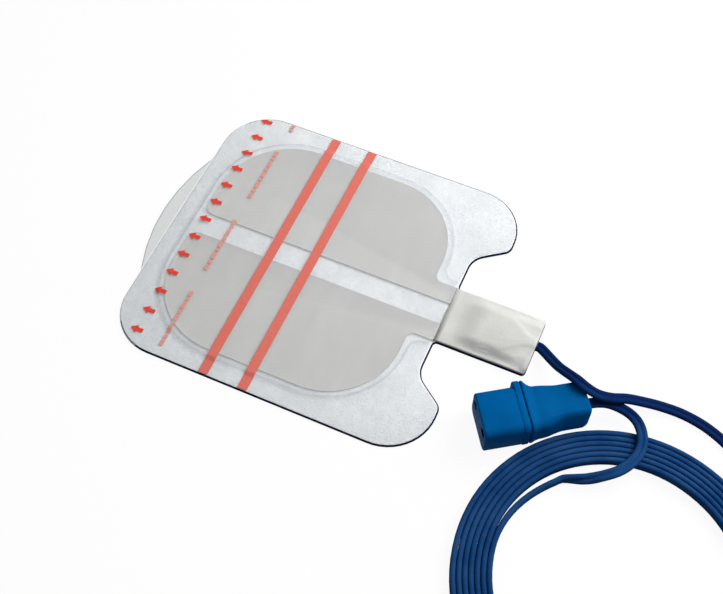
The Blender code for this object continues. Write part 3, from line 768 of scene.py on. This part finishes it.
def lofted(size, radius, stretches, shift=0.0):
    """A closed body drawn on from a rounded plate through (advance, size, shift) stretches."""
    bm = rounded_plate(size, radius)
    bmesh.ops.translate(bm, verts=bm.verts, vec=(0.0, shift, 0.0))
    first = bm.faces[:][0]
    face, last, last_shift = first, size, shift
    for advance, after, after_shift in stretches:
        result = bmesh.ops.extrude_face_region(bm, geom=[face])
        new_face = next(item for item in result["geom"] if isinstance(item, bmesh.types.BMFace))
        if face is not first and face.is_valid:
            bmesh.ops.delete(bm, geom=[face], context="FACES_ONLY")
        verts = new_face.verts
        bmesh.ops.translate(bm, verts=verts, vec=(0.0, -last_shift, 0.0))
        bmesh.ops.scale(bm, verts=verts, vec=(1.0, after[0] / last[0], after[1] / last[1]))
        bmesh.ops.translate(bm, verts=verts, vec=(advance, after_shift, 0.0))
        face, last, last_shift = new_face, after, after_shift
    bmesh.ops.recalc_face_normals(bm, faces=bm.faces)
    return bm


def rounded_stretches(size, edge, steps, opening, shift=0.0):
    """Stretches over a rounded edge, opening from an end or closing to it, and the first size."""
    angles = [pi / 2 * step / steps for step in range(steps + 1)]
    alongs = [edge * (1 - cos(angle)) for angle in angles]
    sizes = [tuple(full - 2 * edge * (1 - sin(angle)) for full in size) for angle in angles]
    if not opening:
        sizes = sizes[::-1]
        alongs = [edge - along for along in alongs[::-1]]
    return [(b - a, after, shift) for a, b, after in zip(alongs, alongs[1:], sizes[1:])], sizes[0]


def mixed(first, last, share):
    """Sizes between two, at a share of the way."""
    return tuple(a + (b - a) * share for a, b in zip(first, last))


def plug_place():
    """From the plug's own axis to its place on the table."""
    return Matrix.Translation(PLUG_FACE) @ Matrix.Rotation(PLUG_TURN, 4, "Z")


def make_block(hard, painted_shade):
    """Socket block with its flange, wider at one side, and the two bores, whose insides are painted near
    black as shade.
    """
    opening, start = rounded_stretches(BLOCK_SIZE, BLOCK_EDGE, 4, True)
    flange_open, flange_start = rounded_stretches(FLANGE_SIZE, FLANGE_EDGE, 3, True, FLANGE_SHIFT)
    flange_close, _ = rounded_stretches(FLANGE_SIZE, COLLAR_EDGE, 4, False, FLANGE_SHIFT)
    stretches = opening + [
        (BLOCK_LENGTH - BLOCK_EDGE - BLOCK_SUPPORT, BLOCK_SIZE, 0.0),
        (BLOCK_SUPPORT, BLOCK_SIZE, 0.0),
        (0.0, flange_start, FLANGE_SHIFT),
    ]
    stretches += flange_open + [(FLANGE_LENGTH - FLANGE_EDGE - COLLAR_EDGE, FLANGE_SIZE, FLANGE_SHIFT)]
    bm = lofted(start, BLOCK_RADIUS - BLOCK_EDGE, stretches + flange_close)
    bmesh.ops.transform(bm, matrix=plug_place(), verts=bm.verts)
    block = piece("socket_block", bm, [hard, painted_shade], ["plug_insert"], radians(35))
    for side in (1, -1):
        drill = bmesh.new()
        bore = SOCKET_BORE / 2
        for radius, depth in ((bore, SOCKET_DEPTH), (bore + SOCKET_MOUTH, SOCKET_MOUTH)):
            bmesh.ops.create_cone(
                drill, cap_ends=True, segments=48, radius1=radius, radius2=bore, depth=2 * depth,
                matrix=Matrix.Rotation(pi / 2, 4, "Y"),
            )
        bmesh.ops.translate(drill, verts=drill.verts, vec=(0.0, side * SOCKET_SPACING / 2, SOCKET_RISE))
        bmesh.ops.transform(drill, matrix=plug_place(), verts=drill.verts)
        cutter = placed("drill", mesh_of("drill", drill))
        cut = block.modifiers.new("socket", "BOOLEAN")
        cut.operation = "DIFFERENCE"
        cut.use_self = True
        cut.object = cutter
        with bpy.context.temp_override(object=block, active_object=block):
            bpy.ops.object.modifier_apply(modifier=cut.name)
        bpy.data.objects.remove(cutter)
    # Painted shade: the faces inside the bores take the near-black finish
    back = plug_place().inverted()
    for face in block.data.polygons:
        place = back @ face.center
        off_axis = Vector((abs(place.y) - SOCKET_SPACING / 2, place.z - SOCKET_RISE)).length
        if off_axis < SOCKET_BORE / 2 + 0.1 * MM and 0.2 * MM < place.x:
            face.material_index = 1


def make_grip(soft):
    """Overmoulded grip: a collar flaring down to its root, and a squarer waist towards the cord."""
    grip, start = rounded_stretches(FLANGE_SIZE, COLLAR_EDGE, 4, True, FLANGE_SHIFT)
    grip.append((COLLAR_LENGTH - COLLAR_EDGE, FLANGE_SIZE, FLANGE_SHIFT))
    for step in range(1, GRIP_STEPS + 1):
        spread = (1 - step / GRIP_STEPS) ** 2
        advance = (GRIP_ROOT_START - COLLAR_LENGTH) / GRIP_STEPS
        grip.append((advance, mixed(GRIP_ROOT, FLANGE_SIZE, spread), FLANGE_SHIFT * spread))
    for step in range(1, GRIP_STEPS + 1):
        advance = (GRIP_WAIST_START - GRIP_ROOT_START) / GRIP_STEPS
        grip.append((advance, mixed(GRIP_ROOT, GRIP_WAIST, ease(step / GRIP_STEPS)), 0.0))
    closing, _ = rounded_stretches(GRIP_WAIST, GRIP_END_EDGE, 6, False)
    grip.append((GRIP_LENGTH - GRIP_WAIST_START - GRIP_END_EDGE, GRIP_WAIST, 0.0))
    bm = lofted(start, FLANGE_RADIUS - COLLAR_EDGE, grip + closing, FLANGE_SHIFT)
    for vert in bm.verts:
        share = ease((vert.co.x - GRIP_ROOT_START) / (GRIP_WAIST_START - GRIP_ROOT_START))
        wide, high = mixed(GRIP_ROOT, GRIP_WAIST, share)
        if share > 0 and vert.co.z > 0:
            vert.co.z += (high / 2 - vert.co.z) * GRIP_CORNER * share
            vert.co.y += (copysign(wide / 2, vert.co.y) - vert.co.y) * GRIP_CORNER * share
            if vert.co.y < 0:
                vert.co.y *= 1 - GRIP_SLOPE * share * vert.co.z / (high / 2)
        if vert.co.x > GRIP_LENGTH - GRIP_END_EDGE - 0.01 * MM:
            vert.co.x -= rounding(abs(vert.co.y), wide / 2, GRIP_END_RADIUS)
    bmesh.ops.translate(bm, verts=bm.verts, vec=(GRIP_START, 0.0, 0.0))
    bmesh.ops.transform(bm, matrix=plug_place(), verts=bm.verts)
    piece("moulded_grip", bm, [soft], ["plug_grip"], radians(50))


def make_band(paper):
    piece("paper_band", merged_node("coil_band"), [paper], ["coil_band"], radians(40))


def dress_nodes(metal, foil, sheath):
    """Finishes of the CAD nodes that stay as they are."""
    for names, finish in (
        (("terminal_left", "terminal_right", "contact_left", "contact_right"), metal),
        (("foil_left", "foil_right"), foil),
        (("wire_left", "wire_right"), sheath),
    ):
        for name in names:
            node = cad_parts[name]
            node.data.materials.clear()
            node.data.materials.append(finish)
            for face in node.data.polygons:
                face.material_index = 0


def make_floor():
    """Floor seen as near white, which keeps the shadows and throws back a weaker light."""
    bm = bmesh.new()
    bmesh.ops.create_grid(bm, x_segments=1, y_segments=1, size=FLOOR_REACH)
    bmesh.ops.translate(bm, verts=bm.verts, vec=(0.0, 0.0, -FLOOR_DROP))
    floor = placed("floor", mesh_of("floor", bm))
    material = bpy.data.materials.new("pale_floor")
    material.use_nodes = True
    tree = material.node_tree
    tree.nodes.clear()
    path = tree.nodes.new("ShaderNodeLightPath")
    seen = path.outputs["Is Camera Ray"]
    for ray in ("Is Glossy Ray", "Is Transmission Ray"):
        either = tree.nodes.new("ShaderNodeMath")
        either.operation = "MAXIMUM"
        tree.links.new(seen, either.inputs[0])
        tree.links.new(path.outputs[ray], either.inputs[1])
        seen = either.outputs[0]
    share = tree.nodes.new("ShaderNodeMath")
    share.operation = "MULTIPLY"
    share.inputs[1].default_value = FLOOR_GLOW_SHARE
    tree.links.new(seen, share.inputs[0])
    tone = tree.nodes.new("ShaderNodeMix")
    tone.data_type = "RGBA"
    tree.links.new(seen, tone.inputs["Factor"])
    tone.inputs["A"].default_value = (*FLOOR_BOUNCE, 1.0)
    tone.inputs["B"].default_value = (*FLOOR_SEEN, 1.0)
    lit = tree.nodes.new("ShaderNodeBsdfDiffuse")
    tree.links.new(tone.outputs["Result"], lit.inputs["Color"])
    glow = tree.nodes.new("ShaderNodeEmission")
    glow.inputs["Color"].default_value = (1.0, 1.0, 1.0, 1.0)
    glow.inputs["Strength"].default_value = 1.0
    mix = tree.nodes.new("ShaderNodeMixShader")
    output = tree.nodes.new("ShaderNodeOutputMaterial")
    tree.links.new(share.outputs[0], mix.inputs[0])
    tree.links.new(lit.outputs[0], mix.inputs[1])
    tree.links.new(glow.outputs[0], mix.inputs[2])
    tree.links.new(mix.outputs[0], output.inputs["Surface"])
    floor.data.materials.append(material)


def make_lamp(name, place, size, power):
    lamp = bpy.data.lights.new(name, "AREA")
    lamp.shape = "SQUARE"
    lamp.size = size
    lamp.energy = power
    made = placed(name, lamp)
    made.location = place
    made.rotation_mode = "QUATERNION"
    made.rotation_quaternion = (Vector(LAMP_TARGET) - Vector(place)).to_track_quat("-Z", "Y")


def make_studio():
    world = bpy.data.worlds.new("studio")
    bpy.context.scene.world = world
    world.use_nodes = True
    background = world.node_tree.nodes["Background"]
    background.inputs["Color"].default_value = (*SKY_COLOUR, 1.0)
    background.inputs["Strength"].default_value = SKY_STRENGTH
    make_lamp("key", KEY_PLACE, KEY_SIZE, KEY_POWER)
    make_lamp("top", TOP_PLACE, TOP_SIZE, TOP_POWER)
    bpy.context.scene.view_settings.view_transform = "Standard"


def make_camera():
    camera = bpy.data.cameras.new("photo_view")
    camera.sensor_width = CAMERA_SENSOR
    camera.lens = CAMERA_LENS
    camera.clip_start = 0.01
    camera.clip_end = 10.0
    made = placed("photo_view", camera)
    made.location = CAMERA_PLACE
    made.rotation_euler = (pi / 2 - CAMERA_PITCH, 0.0, CAMERA_TURN)
    bpy.context.scene.camera = made


make_camera()
make_studio()
make_floor()

metal = metal_finish("tinned_brass", (0.72, 0.70, 0.65), 0.35)
foil = metal_finish("rolled_foil", (0.78, 0.79, 0.80), 0.3)
sheath = sheath_finish()
hard_blue = moulded("blue_block", (0.0, 0.085, 0.27), (0.0, 0.10, 0.31), 0.45).material
soft_blue = moulded("blue_grip", (0.0, 0.08, 0.25), (0.0, 0.094, 0.28), 0.5).material
# Near-black painted shade for the insides of the bores
painted_shade_socket = moulded("painted_shade_socket", (0.002, 0.003, 0.008), (0.004, 0.006, 0.014), 0.6).material
stripe_red = ink_finish("stripe_red", (0.72, 0.155, 0.115), (0.76, 0.22, 0.18))
arrow_red = ink_finish("arrow_red", (0.78, 0.045, 0.02), (0.80, 0.12, 0.08))
faint_red = ink_finish("faint_red", (0.74, 0.30, 0.24), (0.72, 0.42, 0.37))
films = [
    film_finish("clear_film", (0.72, 0.75, 0.76), 0.2),
    # Greyer, more opaque film at the step's upper creases: painted shade
    film_finish("crease_shade_film", (0.56, 0.60, 0.64), 0.28),
    # Greyer tab film and darker tab edge: painted shade seen through the tab and along its cut edge
    film_finish("tab_shade_film", (0.50, 0.54, 0.53), 0.33),
    film_finish("tab_rim_shade", (0.28, 0.31, 0.32), 0.5),
]

make_backing(nonwoven_finish(), painted_shade_edge_finish())
make_gel(gel_finish())
make_liner(films, stripe_red, arrow_red, faint_red)
make_cover(cover_finish())
dress_nodes(metal, foil, sheath)
make_block(hard_blue, painted_shade_socket)
make_grip(soft_blue)
make_band(paper_finish())
make_cord(sheath)
